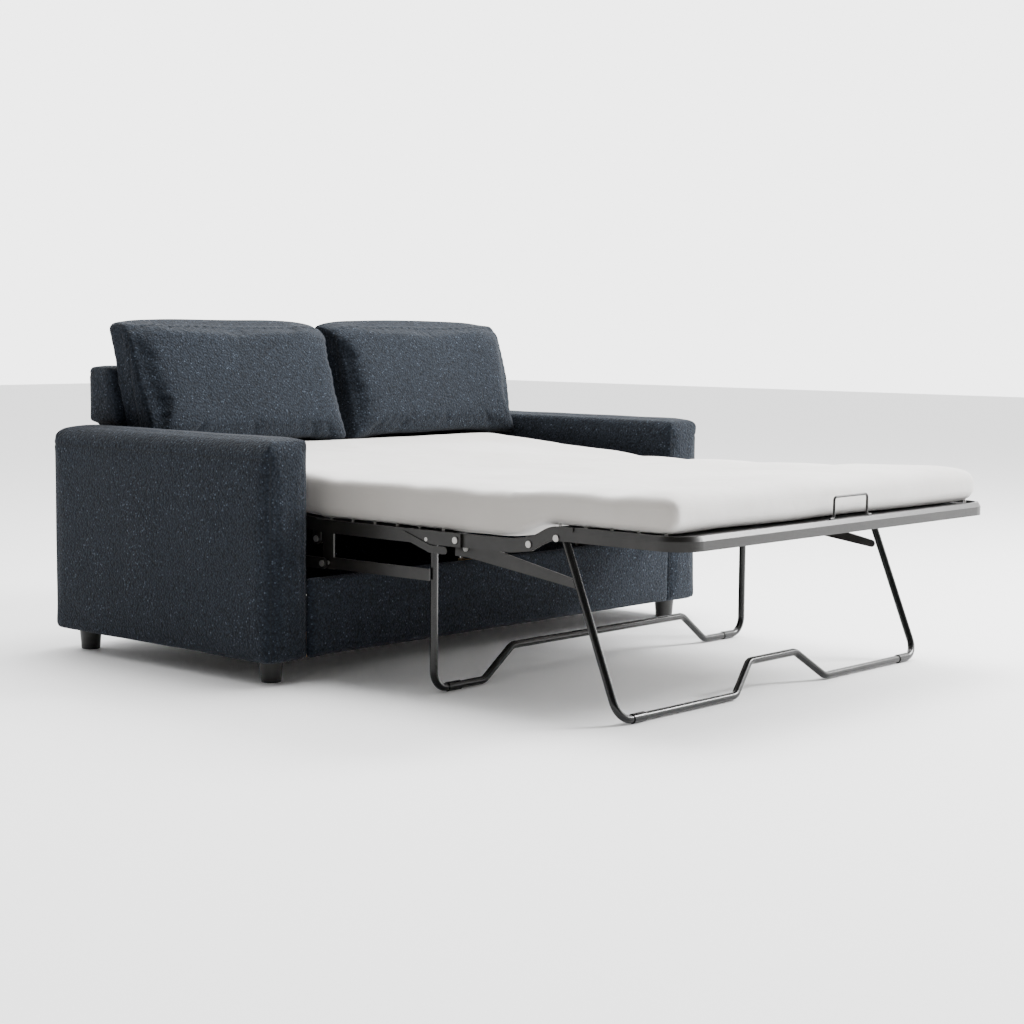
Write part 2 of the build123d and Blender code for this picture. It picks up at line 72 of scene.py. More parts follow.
class Side(Enum):
    """A side of the sofa, seen from the front, and the sign of its X."""

    LEFT = -1
    RIGHT = 1

    def __str__(self) -> str:
        """The side's word in node names."""
        return self.name.lower()


# ------------------------------------------------------------------ finishes


class Shading:
    """Builds one material's node tree."""

    def __init__(self, name: str) -> None:
        """Start a material.

        Args:
            name: The finish's name.
        """
        self.material = bpy.data.materials.new(name)
        self.material.use_nodes = True
        self.tree = self.material.node_tree
        self.surface = self.tree.nodes["Principled BSDF"]
        coordinates = self.tree.nodes.new("ShaderNodeTexCoord")
        self.place = coordinates.outputs["Object"]

    def node(self, kind: str, inputs: dict | None = None, **settings: Any) -> bpy.types.Node:
        """Add a node.

        Args:
            kind: The node's type.
            inputs: Values or output sockets, by input name.
            settings: The node's own properties.

        Returns:
            The new node.
        """
        made = self.tree.nodes.new(kind)
        for key, value in settings.items():
            setattr(made, key, value)
        for key, value in (inputs or {}).items():
            self.feed(made.inputs[key], value)
        return made

    def feed(self, socket: bpy.types.NodeSocket, value: Any) -> None:
        """Link an output to a socket, or set the socket's value."""
        if isinstance(value, bpy.types.NodeSocket):
            self.tree.links.new(value, socket)
        else:
            socket.default_value = value

    def set(self, **values: Any) -> None:
        """Set or feed the surface shader's sockets, with _ for a space."""
        for key, value in values.items():
            self.feed(self.surface.inputs[key.replace("_", " ")], value)

    def noise(self, scale: float, detail: float = 3.0, roughness: float = 0.55) -> bpy.types.NodeSocket:
        """Noise height over the surface, with its scale in cycles per metre."""
        made = self.node(
            "ShaderNodeTexNoise",
            {"Vector": self.place, "Scale": scale, "Detail": detail, "Roughness": roughness},
        )
        return made.outputs["Fac"]

    def maths(self, operation: str, first: Height, second: Height) -> bpy.types.NodeSocket:
        """Result of one operation on two numbers or outputs."""
        return self.node("ShaderNodeMath", {0: first, 1: second}, operation=operation).outputs[0]

    def waves(self, scale: float, distortion: float, direction: str = "X") -> bpy.types.NodeSocket:
        """Bands across one direction, with their scale and unevenness."""
        made = self.node(
            "ShaderNodeTexWave",
            {"Vector": self.place, "Scale": scale, "Distortion": distortion},
            bands_direction=direction,
        )
        return made.outputs["Fac"]

    def ramp(self, height: bpy.types.NodeSocket, stops: list[tuple[float, tuple]]) -> bpy.types.NodeSocket:
        """Colour ramp over a height.

        Args:
            height: What the ramp reads.
            stops: Position and linear colour of each stop.

        Returns:
            The colour output.
        """
        made = self.node("ShaderNodeValToRGB", {"Fac": height})
        points = made.color_ramp.elements
        while len(points) < len(stops):
            points.new(0.5)
        for point, (position, colour) in zip(points, stops):
            point.position = position
            point.color = (*colour, 1.0)
        return made.outputs["Color"]

    def span(self, height: bpy.types.NodeSocket, low: float, high: float) -> bpy.types.NodeSocket:
        """Map a height from 0..1 to low..high."""
        made = self.node("ShaderNodeMapRange", {"Value": height, "To Min": low, "To Max": high})
        return made.outputs["Result"]

    def mix(
        self, share: Height, first: Colour, second: Colour, blend: str = "MIX"
    ) -> bpy.types.NodeSocket:
        """Mix two colours.

        Args:
            share: How much of the second colour shows.
            first: The first colour or its output.
            second: The second colour or its output.
            blend: The way they mix.

        Returns:
            The colour output.
        """
        made = self.node("ShaderNodeMix", data_type="RGBA", blend_type=blend)
        self.feed(made.inputs[0], share)
        self.feed(made.inputs[6], first if isinstance(first, bpy.types.NodeSocket) else (*first, 1.0))
        self.feed(made.inputs[7], second if isinstance(second, bpy.types.NodeSocket) else (*second, 1.0))
        return made.outputs[2]

    def bump(
        self, height: bpy.types.NodeSocket, depth: float, below: bpy.types.NodeSocket | None = None
    ) -> bpy.types.NodeSocket:
        """Bump of a given depth in metres, on top of another one."""
        made = self.node("ShaderNodeBump", {"Height": height, "Strength": 1.0, "Distance": depth})
        if below is not None:
            self.feed(made.inputs["Normal"], below)
        return made.outputs["Normal"]


@dataclass(frozen=True)
class Finish:
    """A finish that makes its material once."""

    name: str
    slot: str

    def material(self) -> bpy.types.Material:
        """The finish's material, made at its first use."""
        known = bpy.data.materials.get(self.name)
        if known is None:
            shading = Shading(self.name)
            self.paint(shading)
            known = shading.material
        return known

    def paint(self, shading: Shading) -> None:
        """Fill in the node tree."""

    def dress(self, piece: bpy.types.Object) -> None:
        """Give a piece this finish."""
        piece.data.materials.clear()
        piece.data.materials.append(self.material())


@dataclass(frozen=True)
class Chenille(Finish):
    """Coarse pebbly chenille with paler flecks, and painted shade in its crevices and seams."""

    dark: Point = (0.0070, 0.0100, 0.0150)
    middle: Point = (0.0150, 0.0205, 0.0295)
    fleck: Point = (0.062, 0.079, 0.105)
    pebble: float = 190.0
    wander: float = 0.004
    # painted shade: colour that the pressed seam grooves are darkened towards
    seam_painted_shade: Point = (0.012, 0.014, 0.017)

    def paint(self, shading: Shading) -> None:
        """Pebbles, flecks, yarn fuzz, slow random changes of tone, and painted shade in the crevices and
        seams.
        """
        wobble = shading.node(
            "ShaderNodeTexNoise", {"Vector": shading.place, "Scale": 110.0, "Detail": 2.0}
        ).outputs["Color"]
        reach = (self.wander, self.wander, self.wander)
        bent = shading.node("ShaderNodeVectorMath", {0: wobble, 1: reach}, operation="MULTIPLY")
        place = shading.node(
            "ShaderNodeVectorMath", {0: shading.place, 1: bent.outputs[0]}, operation="ADD"
        )
        pebbles = shading.node(
            "ShaderNodeTexVoronoi", {"Vector": place.outputs[0], "Scale": self.pebble}, feature="SMOOTH_F1"
        )
        lumps = shading.maths("SUBTRACT", 1.0, pebbles.outputs["Distance"])
        cell = shading.node("ShaderNodeSeparateColor", {"Color": pebbles.outputs["Color"]})
        flecks = shading.ramp(
            cell.outputs[0], [(0.0, self.dark), (0.45, self.middle), (0.8, self.middle), (1.0, self.fleck)]
        )
        # painted shade: darkens the crevices between the pebbles, where shade falls
        crevice_painted_shade = shading.ramp(
            pebbles.outputs["Distance"], [(0.20, (1.0, 1.0, 1.0)), (0.80, (0.36, 0.37, 0.39))]
        )
        slow = shading.ramp(shading.noise(4.0, 2.0), [(0.3, (0.88, 0.89, 0.9)), (0.7, (1.1, 1.1, 1.1))])
        colour = shading.mix(1.0, shading.mix(1.0, flecks, crevice_painted_shade, "MULTIPLY"), slow, "MULTIPLY")
        # painted shade: darken the pressed seam grooves, where shade falls
        seam = shading.node("ShaderNodeAttribute", attribute_name="seam").outputs["Fac"]
        colour = shading.mix(seam, colour, self.seam_painted_shade)
        fuzz = shading.noise(1500.0, 2.0)
        normal = shading.bump(fuzz, 0.0005, shading.bump(lumps, 0.0034))
        shading.set(
            Base_Color=colour, Roughness=0.95, Normal=normal, Sheen_Weight=0.03, Sheen_Roughness=0.5,
            Specular_IOR_Level=0.2,
        )


@dataclass(frozen=True)
class Ticking(Finish):
    """Smooth white mattress cover with a fine weave and soft creases."""

    white: Point = (0.72, 0.705, 0.685)
    shade: Point = (0.63, 0.61, 0.585)
    # painted shade: dark colour laid on the mattress's side panels for the shade on its sides
    border: Point = (0.215, 0.19, 0.162)

    def paint(self, shading: Shading) -> None:
        """Fine weave, soft creases, uneven white and painted shade on the side panels."""
        threads = (shading.waves(180.0, 0.6, "X"), shading.waves(180.0, 0.6, "Y"))
        weave = shading.maths("ADD", *threads)
        creases = shading.noise(9.0, 3.0, 0.45)
        colour = shading.ramp(shading.noise(3.0, 4.0), [(0.25, self.shade), (0.6, self.white)])
        # painted shade: the 'seam' mark darkens the side panels towards the border colour
        panel = shading.node("ShaderNodeAttribute", attribute_name="seam").outputs["Fac"]
        colour = shading.mix(panel, colour, self.border)
        normal = shading.bump(weave, 0.00012, shading.bump(creases, 0.006))
        shading.set(
            Base_Color=colour, Roughness=0.85, Normal=normal, Sheen_Weight=0.05, Sheen_Roughness=0.4,
        )


@dataclass(frozen=True)
class DeckCloth(Finish):
    """Woven tape cloth of the decks and the dust cover."""

    light: Point = (0.055, 0.055, 0.056)
    dark: Point = (0.012, 0.012, 0.012)
    tape: float = 70.0

    def paint(self, shading: Shading) -> None:
        """A plain weave of flat tapes."""
        checker = shading.node("ShaderNodeTexChecker", {"Vector": shading.place, "Scale": self.tape * 4})
        strands = shading.waves(self.tape * 2, 0.3)
        height = shading.maths("ADD", checker.outputs["Fac"], strands)
        colour = shading.ramp(strands, [(0.0, self.dark), (0.9, self.light)])
        rough = shading.span(shading.noise(60.0), 0.6, 0.85)
        shading.set(Base_Color=colour, Roughness=rough, Normal=shading.bump(height, 0.0005))


@dataclass(frozen=True)
class PowderCoat(Finish):
    """Powder-coated steel with orange peel, dust and rubbed spots."""

    coat: Point = (0.0058, 0.0053, 0.0046)
    dust: Point = (0.0125, 0.0115, 0.0102)
    rough: tuple[float, float] = (0.30, 0.46)
    peel: float = 900.0

    def paint(self, shading: Shading) -> None:
        """Orange peel, uneven gloss and a little dust."""
        dusty = shading.noise(14.0, 5.0, 0.65)
        colour = shading.ramp(dusty, [(0.42, self.coat), (0.78, self.dust)])
        scuffs = shading.node(
            "ShaderNodeTexNoise",
            {"Vector": shading.place, "Scale": 60.0, "Detail": 6.0, "Distortion": 1.5},
        ).outputs["Fac"]
        rough = shading.span(scuffs, *self.rough)
        normal = shading.bump(shading.noise(self.peel, 1.0), 0.00009, shading.bump(scuffs, 0.00012))
        shading.set(
            Base_Color=colour, Roughness=rough, Normal=normal, Coat_Weight=0.12, Coat_Roughness=0.18,
            Specular_IOR_Level=0.28,
        )


@dataclass(frozen=True)
class BareSteel(Finish):
    """Blackened steel of pins, bolts and springs."""

    steel: Point = (0.030, 0.0285, 0.027)
    stain: Point = (0.012, 0.011, 0.010)

    def paint(self, shading: Shading) -> None:
        """Turned grain and oil stains."""
        stains = shading.noise(120.0, 5.0)
        colour = shading.ramp(stains, [(0.35, self.stain), (0.65, self.steel)])
        rough = shading.span(stains, 0.28, 0.52)
        grain = shading.bump(shading.noise(1600.0), 0.00005)
        shading.set(Base_Color=colour, Metallic=1.0, Roughness=rough, Normal=grain)


@dataclass(frozen=True)
class Timber(Finish):
    """Planed softwood with long grain."""

    pale: Point = (0.46, 0.30, 0.155)
    grain: Point = (0.24, 0.13, 0.055)

    def paint(self, shading: Shading) -> None:
        """Stretched rings along the board."""
        stretched = shading.node("ShaderNodeMapping", {"Vector": shading.place, "Scale": (9.0, 0.8, 9.0)})
        rings = shading.node(
            "ShaderNodeTexWave",
            {"Vector": stretched.outputs[0], "Scale": 2.5, "Distortion": 5.0, "Detail": 3.0},
        ).outputs["Fac"]
        colour = shading.ramp(rings, [(0.15, self.pale), (0.9, self.grain)])
        rough = shading.span(rings, 0.5, 0.7)
        shading.set(Base_Color=colour, Roughness=rough, Normal=shading.bump(rings, 0.0002))


@dataclass(frozen=True)
class FootPlastic(Finish):
    """Matt black moulded foot."""

    black: Point = (0.006, 0.006, 0.0055)
    scuff: Point = (0.022, 0.021, 0.02)

    def paint(self, shading: Shading) -> None:
        """Moulded grain and scuffs near the floor."""
        scuffs = shading.noise(45.0, 6.0, 0.7)
        colour = shading.ramp(scuffs, [(0.5, self.black), (0.8, self.scuff)])
        shading.set(
            Base_Color=colour, Roughness=shading.span(scuffs, 0.42, 0.62),
            Normal=shading.bump(shading.noise(700.0, 2.0), 0.0001),
        )


class Finishes:
    """Every finish on the sofa."""

    COVER = Chenille("cover_chenille", "upholstery")
    TICKING = Ticking("mattress_ticking", "mattress_cover")
    DECK = DeckCloth("deck_cloth", "deck_cloth")
    DUST = DeckCloth(
        "dust_cloth", "dust_cloth", light=(0.02, 0.02, 0.02), dark=(0.008, 0.008, 0.008), tape=300.0
    )
    FRAME = PowderCoat("frame_powder_coat", "frame_steel")
    TUBE = PowderCoat(
        "tube_gloss_coat", "gloss_tube", coat=(0.003, 0.003, 0.003), dust=(0.007, 0.0068, 0.0066),
        rough=(0.16, 0.3),
    )
    STEEL = BareSteel("pin_steel", "pin_steel")
    TIMBER = Timber("frame_timber", "timber")
    FOOT = FootPlastic("foot_black", "black_foot")


# --------------------------------------------------------------- mesh helpers


class SoftForm:
    """Makes padded closed pieces from side outlines."""

    @staticmethod
    def prism(work: bmesh.types.BMesh, outline: Profile, x_a: float, x_b: float) -> None:
        """Add a closed prism along X to a mesh.

        Args:
            work: The mesh to add to.
            outline: Side outline as (y, z) points.
            x_a: One end.
            x_b: The other end.
        """
        rings = [[work.verts.new((x, y, z)) for y, z in outline] for x in (x_a, x_b)]
        work.faces.new(rings[0])
        work.faces.new(rings[1])
        for i in range(len(outline)):
            j = (i + 1) % len(outline)
            work.faces.new((rings[0][i], rings[0][j], rings[1][j], rings[1][i]))
        bmesh.ops.recalc_face_normals(work, faces=work.faces)

    @staticmethod
    def rounded(outline: Profile, radii: list[float], steps: int = 6) -> Profile:
        """Round each corner of an outline.

        Args:
            outline: The corners in order.
            radii: One radius for each corner, 0 for a sharp one.
            steps: Points on each round.

        Returns:
            The rounded outline.
        """
        result: Profile = []
        count = len(outline)
        for i in range(count):
            here = Vector(outline[i])
            if radii[i] <= 0:
                result.append(tuple(here))
                continue
            before = (Vector(outline[i - 1]) - here).normalized()
            after = (Vector(outline[(i + 1) % count]) - here).normalized()
            reach = radii[i] / math.tan(before.angle(after) / 2)
            start, end = here + before * reach, here + after * reach
            for k in range(steps + 1):
                t = k / steps
                result.append(tuple(start * (1 - t) ** 2 + here * 2 * t * (1 - t) + end * t * t))
        return result

    @staticmethod
    def finish_mesh(name: str, work: bmesh.types.BMesh) -> bpy.types.Object:
        """Turn a working mesh into an object at the origin."""
        mesh = bpy.data.meshes.new(name)
        work.to_mesh(mesh)
        work.free()
        piece = bpy.data.objects.new(name, mesh)
        bpy.context.scene.collection.objects.link(piece)
        return piece

    @staticmethod
    def bake(piece: bpy.types.Object) -> None:
        """Apply every modifier of a piece."""
        evaluated = piece.evaluated_get(bpy.context.evaluated_depsgraph_get())
        mesh = bpy.data.meshes.new_from_object(evaluated)
        piece.modifiers.clear()
        piece.data = mesh

    @classmethod
    def remesh(cls, piece: bpy.types.Object, voxel: float, smooth: int = 4) -> None:
        """Even quad mesh over a closed piece, lightly smoothed."""
        even = piece.modifiers.new("even", "REMESH")
        even.mode = "VOXEL"
        even.voxel_size = voxel
        if smooth:
            relax = piece.modifiers.new("relax", "SMOOTH")
            relax.iterations = smooth
            relax.factor = 0.5
        cls.bake(piece)

    @staticmethod
    def points(piece: bpy.types.Object) -> np.ndarray:
        """Vertex positions of a piece."""
        flat = np.empty(len(piece.data.vertices) * 3, np.float32)
        piece.data.vertices.foreach_get("co", flat)
        return flat.reshape(-1, 3).astype(float)

    @staticmethod
    def move(piece: bpy.types.Object, points: np.ndarray) -> None:
        """Put a piece's vertices at new positions."""
        piece.data.vertices.foreach_set("co", points.astype(np.float32).ravel())
        piece.data.update()

    @classmethod
    def inflate(
        cls, piece: bpy.types.Object, pressure: float, cap: float, share: Measure | None = None
    ) -> None:
        """Swell a piece as stretched cloth over a filling.

        Args:
            piece: A closed mesh.
            pressure: Pressure inside the cloth.
            cap: Furthest that any point may move, in metres.
            share: Function from positions to how much of the move is kept.
        """
        before = cls.points(piece)
        cloth = piece.modifiers.new("swell", "CLOTH")
        cloth.settings.quality = 4
        cloth.settings.mass = 0.3
        cloth.settings.use_pressure = True
        cloth.settings.uniform_pressure_force = pressure
        cloth.settings.effector_weights.gravity = 0.0
        cloth.settings.tension_stiffness = 12.0
        cloth.settings.compression_stiffness = 8.0
        cloth.settings.bending_stiffness = 0.4
        cloth.point_cache.frame_start = 1
        cloth.point_cache.frame_end = 20
        for step in range(1, 21):
            bpy.context.scene.frame_set(step)
        evaluated = piece.evaluated_get(bpy.context.evaluated_depsgraph_get())
        flat = np.empty(len(evaluated.data.vertices) * 3, np.float32)
        evaluated.data.vertices.foreach_get("co", flat)
        piece.modifiers.clear()
        bpy.context.scene.frame_set(1)
        step = flat.reshape(-1, 3).astype(float) - before
        size = np.linalg.norm(step, axis=1, keepdims=True)
        step = step * np.where(size > 1e-9, cap * np.tanh(size / cap) / np.maximum(size, 1e-9), 0.0)
        if share is not None:
            step *= share(before)[:, None]
        cls.move(piece, before + step)

    @classmethod
    def refine(cls, piece: bpy.types.Object) -> None:
        """One level of subdivision, applied."""
        finer = piece.modifiers.new("finer", "SUBSURF")
        finer.levels = finer.render_levels = 1
        cls.bake(piece)

    @classmethod
    def crumple(cls, piece: bpy.types.Object, depth: float, size: float, seed: float) -> None:
        """Uneven filling: push points along their normals by smooth noise.

        Args:
            piece: The piece.
            depth: Height of the unevenness in metres.
            size: Its wavelength in metres.
            seed: Offset into the noise.
        """
        points = cls.points(piece)
        normals = np.array([v.normal[:] for v in piece.data.vertices])
        shift = Vector((seed, -seed, seed * 0.5))
        height = np.array([noise.noise(Vector(p) / size + shift) for p in points])
        cls.move(piece, points + normals * (height * depth)[:, None])

    @classmethod
    def sew(cls, piece: bpy.types.Object, distance: Measure, width: float, depth: float) -> None:
        """Press a seam into a piece and mark it for the finish's painted shade in the groove.

        Args:
            piece: The piece.
            distance: Function from positions to distance from the seam line.
            width: Half width of the pressed groove.
            depth: Depth of the groove.
        """
        points = cls.points(piece)
        normals = np.array([v.normal[:] for v in piece.data.vertices])
        near = np.exp(-((distance(points) / width) ** 2))
        cls.move(piece, points - normals * (near * depth)[:, None])
        # this mark sets how much painted shade the finish puts into the seam groove
        painted_shade_mask = piece.data.attributes.get("seam") or piece.data.attributes.new("seam", "FLOAT", "POINT")
        old = np.empty(len(points), np.float32)
        painted_shade_mask.data.foreach_get("value", old)
        line = np.clip(near * 1.3 - 0.55, 0, 1) * 0.9
        painted_shade_mask.data.foreach_set("value", np.maximum(old, line).astype(np.float32))

    @staticmethod
    def shade(piece: bpy.types.Object) -> None:
        """Shade a piece smooth."""
        piece.data.polygons.foreach_set("use_smooth", [True] * len(piece.data.polygons))


@dataclass
class SpringRow:
    """A row of small coil springs along lines, made by geometry nodes."""

    finish: Finish
    spacing: float
    length: float
    thickness: float
    coil_radius: float = 0.0034
    coil_turns: float = 5.0
    coil_steps: int = 8
    wire_steps: int = 5

    def tree(self) -> bpy.types.NodeTree:
        """Build the node tree.

        Returns:
            A tree with inputs for spacing, length and thickness.
        """
        tree = bpy.data.node_groups.new("spring_row", "GeometryNodeTree")
        face = tree.interface
        face.new_socket("Geometry", in_out="INPUT", socket_type="NodeSocketGeometry")
        for name in ("Spacing", "Length", "Thickness"):
            face.new_socket(name, in_out="INPUT", socket_type="NodeSocketFloat")
        face.new_socket("Geometry", in_out="OUTPUT", socket_type="NodeSocketGeometry")
        nodes, link = tree.nodes, tree.links.new
        given, result = nodes.new("NodeGroupInput"), nodes.new("NodeGroupOutput")
        lines = nodes.new("GeometryNodeMeshToCurve")
        spots = nodes.new("GeometryNodeCurveToPoints")
        spots.mode = "LENGTH"
        link(given.outputs["Geometry"], lines.inputs[0])
        link(lines.outputs[0], spots.inputs["Curve"])
        link(given.outputs["Spacing"], spots.inputs["Length"])
        path = nodes.new("GeometryNodeCurveSpiral")
        path.inputs["Resolution"].default_value = self.coil_steps
        path.inputs["Rotations"].default_value = self.coil_turns
        path.inputs["Start Radius"].default_value = self.coil_radius
        path.inputs["End Radius"].default_value = self.coil_radius
        link(given.outputs["Length"], path.inputs["Height"])
        ring = nodes.new("GeometryNodeCurvePrimitiveCircle")
        ring.inputs["Resolution"].default_value = self.wire_steps
        link(given.outputs["Thickness"], ring.inputs["Radius"])
        wire = nodes.new("GeometryNodeCurveToMesh")
        wire.inputs["Fill Caps"].default_value = True
        link(path.outputs[0], wire.inputs["Curve"])
        link(ring.outputs[0], wire.inputs["Profile Curve"])
        turned = nodes.new("GeometryNodeTransform")
        turned.inputs["Rotation"].default_value = (math.pi / 2, 0.0, 0.0)
        link(wire.outputs[0], turned.inputs["Geometry"])
        copies = nodes.new("GeometryNodeInstanceOnPoints")
        link(spots.outputs["Points"], copies.inputs["Points"])
        link(turned.outputs[0], copies.inputs["Instance"])
        link(spots.outputs["Rotation"], copies.inputs["Rotation"])
        solid = nodes.new("GeometryNodeRealizeInstances")
        dressed = nodes.new("GeometryNodeSetMaterial")
        dressed.inputs["Material"].default_value = self.finish.material()
        link(copies.outputs[0], solid.inputs[0])
        link(solid.outputs[0], dressed.inputs["Geometry"])
        link(dressed.outputs[0], result.inputs[0])
        return tree

    def along(self, name: str, lines: list[list[Point]]) -> bpy.types.Object:
        """Lay springs along lines.

        Args:
            name: The finished object's name.
            lines: Each line's points.

        Returns:
            One plain mesh at the origin.
        """
        work = bmesh.new()
        for line in lines:
            corners = [work.verts.new(p) for p in line]
            for a, b in zip(corners, corners[1:]):
                work.edges.new((a, b))
        piece = SoftForm.finish_mesh(name, work)
        row = piece.modifiers.new("row", "NODES")
        row.node_group = self.tree()
        values = {"Spacing": self.spacing, "Length": self.length, "Thickness": self.thickness}
        for item in row.node_group.interface.items_tree:
            if item.in_out == "INPUT" and item.name in values:
                row[item.identifier] = values[item.name]
        SoftForm.bake(piece)
        return piece


# -------------------------------------------------------------- sofa assembly


@dataclass
class Arm:
    """One upholstered arm."""

    side: Side
    outer: float = 0.874
    inner: float = 0.734
    front: float = 0.110
    rear: float = 0.990
    bottom: float = 0.0545
    top: float = 0.610
    outer_round: float = 0.044
    inner_round: float = 0.026
    seam_inset: float = 0.0135
    skin: float = 0.002
    voxel: float = 0.0085

    def shell(self) -> bpy.types.Object:
        """The arm's padded casing before its seams.

        Returns:
            The closed mesh.
        """
        skin, sign = self.skin, self.side.value
        y_a, y_b, z_a, z_b = self.front + skin, self.rear - skin, self.bottom, self.top - skin
        outline = SoftForm.rounded(
            [(y_a, z_a), (y_b, z_a), (y_b, z_b), (y_a, z_b)], [0.014, 0.018, 0.052, 0.020], 8
        )
        work = bmesh.new()
        x_a, x_b = sorted((sign * (self.inner + skin), sign * (self.outer - skin)))
        SoftForm.prism(work, outline, x_a, x_b)
        return SoftForm.finish_mesh(f"arm_cover_{self.side}", work)

    def shape(self, piece: bpy.types.Object) -> None:
        """Round the two long top edges of the even mesh."""
        points = SoftForm.points(piece)
        x = np.abs(points[:, 0])
        edges = ((self.outer, 1, self.outer_round), (self.inner, -1, self.inner_round))
        for edge, direction, radius in edges:
            a = direction * (x - edge) + radius
            b = points[:, 2] - self.top + radius
            self.pull(points, x, a, b, radius, direction)
        SoftForm.move(piece, points)

    @staticmethod
    def pull(
        points: np.ndarray, x: np.ndarray, a: np.ndarray, b: np.ndarray, radius: float, way: int
    ) -> None:
        """Move points outside a rounded edge onto its arc.

        Args:
            points: Positions, changed in place.
            x: Distances of the points from the middle, changed in place.
            a: Distance past the arc's centre, sideways.
            b: Distance past the arc's centre, upwards.
            radius: The arc's radius.
            way: Which way sideways points.
        """
        inside = (a > 0) & (b > 0)
        far = np.hypot(a, b)
        shrink = np.where(inside & (far > radius), radius / np.maximum(far, 1e-9), 1.0)
        x += way * np.where(inside, a * (shrink - 1), 0.0)
        points[:, 2] += np.where(inside, b * (shrink - 1), 0.0)
        points[:, 0] = np.sign(points[:, 0]) * x

    def seam_distance(self, points: np.ndarray) -> np.ndarray:
        """Distance to the seams that border the front face and the outer side."""
        x, y, z = np.abs(points[:, 0]), points[:, 1], points[:, 2]
        border = np.abs(x - (self.outer - self.seam_inset))
        front = np.hypot(border, np.maximum(y - self.front - 0.05, 0.0))
        inner = np.hypot(np.abs(x - (self.inner + 0.012)), np.maximum(y - self.front - 0.02, 0.0))
        under_top = np.where(z < self.top - 0.045, front, 1.0)
        crown = np.hypot(np.maximum(x - self.outer, 0.0), z - (self.top - 0.052))
        side = np.where((x > self.outer - 0.012) | (y < self.front + 0.006), crown, 1.0)
        side = np.where(y < self.front + 0.006, 1.0, side)
        return np.minimum(np.minimum(under_top, np.where(z < self.top - 0.03, inner, 1.0)), side)

    def build(self) -> bpy.types.Object:
        """Make, swell, sew and dress the arm.

        Returns:
            The finished cover.
        """
        piece = self.shell()
        SoftForm.remesh(piece, self.voxel, 2)
        self.shape(piece)
        SoftForm.inflate(piece, 1.2, 0.003)
        SoftForm.refine(piece)
        SoftForm.crumple(piece, 0.0016, 0.16, 3.0 * self.side.value)
        SoftForm.sew(piece, self.seam_distance, 0.0042, 0.0024)
        SoftForm.shade(piece)
        Finishes.COVER.dress(piece)
        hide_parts(f"arm_{self.side}")
        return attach(piece, "root")


@dataclass
class SofaBody:
    """Rail and back between and around the arms."""

    inner: float = 0.734
    rear: float = 0.990
    tuck: float = 0.0035
    back_half: float = 0.754
    low_half: float = 0.731
    voxel: float = 0.0085

    def board(
        self, name: str, node: str, boards: list[tuple[Profile, list[float], float]],
        seam: Measure | None = None,
    ) -> bpy.types.Object:
        """Upholster one or more boards as a single cover.

        Args:
            name: The cover's name.
            node: The frame node that it stands for.
            boards: Outline, corner radii and half width of each board.
            seam: Distance function of its seams, if it has any.

        Returns:
            The finished cover.
        """
        work = bmesh.new()
        for outline, radii, half in boards:
            SoftForm.prism(work, SoftForm.rounded(outline, radii), -half, half)
        piece = SoftForm.finish_mesh(name, work)
        SoftForm.remesh(piece, self.voxel, 2)
        SoftForm.inflate(piece, 1.0, 0.002)
        SoftForm.refine(piece)
        SoftForm.crumple(piece, 0.0012, 0.14, 5.0)
        if seam is not None:
            SoftForm.sew(piece, seam, 0.004, 0.002)
        SoftForm.shade(piece)
        Finishes.COVER.dress(piece)
        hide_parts(node)
        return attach(piece, "root")

    def build(self) -> None:
        """Make the arms and the still covers of the rail and the back."""
        for side in Side:
            LOG.info("arm %s: %d faces", side, len(Arm(side).build().data.polygons))
        edge = self.inner + self.tuck
        rail = [(0.111, 0.058), (0.134, 0.058), (0.134, 0.261), (0.111, 0.261)]
        self.board("front_rail_cover", "front_rail", [(rail, [0.006, 0.005, 0.008, 0.008], edge)])
        panel = [(0.973, 0.058), (0.988, 0.058), (0.988, 0.609), (0.973, 0.609)]
        self.board("back_panel_cover", "back_panel", [(panel, [0.004, 0.005, 0.004, 0.004], edge)])
        upper = [(0.853, 0.613), (0.889, 0.767), (0.988, 0.767), (0.988, 0.613)]
        lower = [(0.853, 0.546), (0.853, 0.620), (0.970, 0.620), (0.970, 0.546)]
        boards = [(upper, [0.004, 0.016, 0.018, 0.008], self.back_half), (lower, [0.0] * 4, self.low_half)]
        self.board("back_rest_cover", "back_rest", boards, self.back_seam)

    def back_seam(self, points: np.ndarray) -> np.ndarray:
        """Distance to the seam below the back rail's top, on its outer face."""
        return np.where(points[:, 1] > self.rear - 0.04, np.abs(points[:, 2] - 0.745), 1.0)


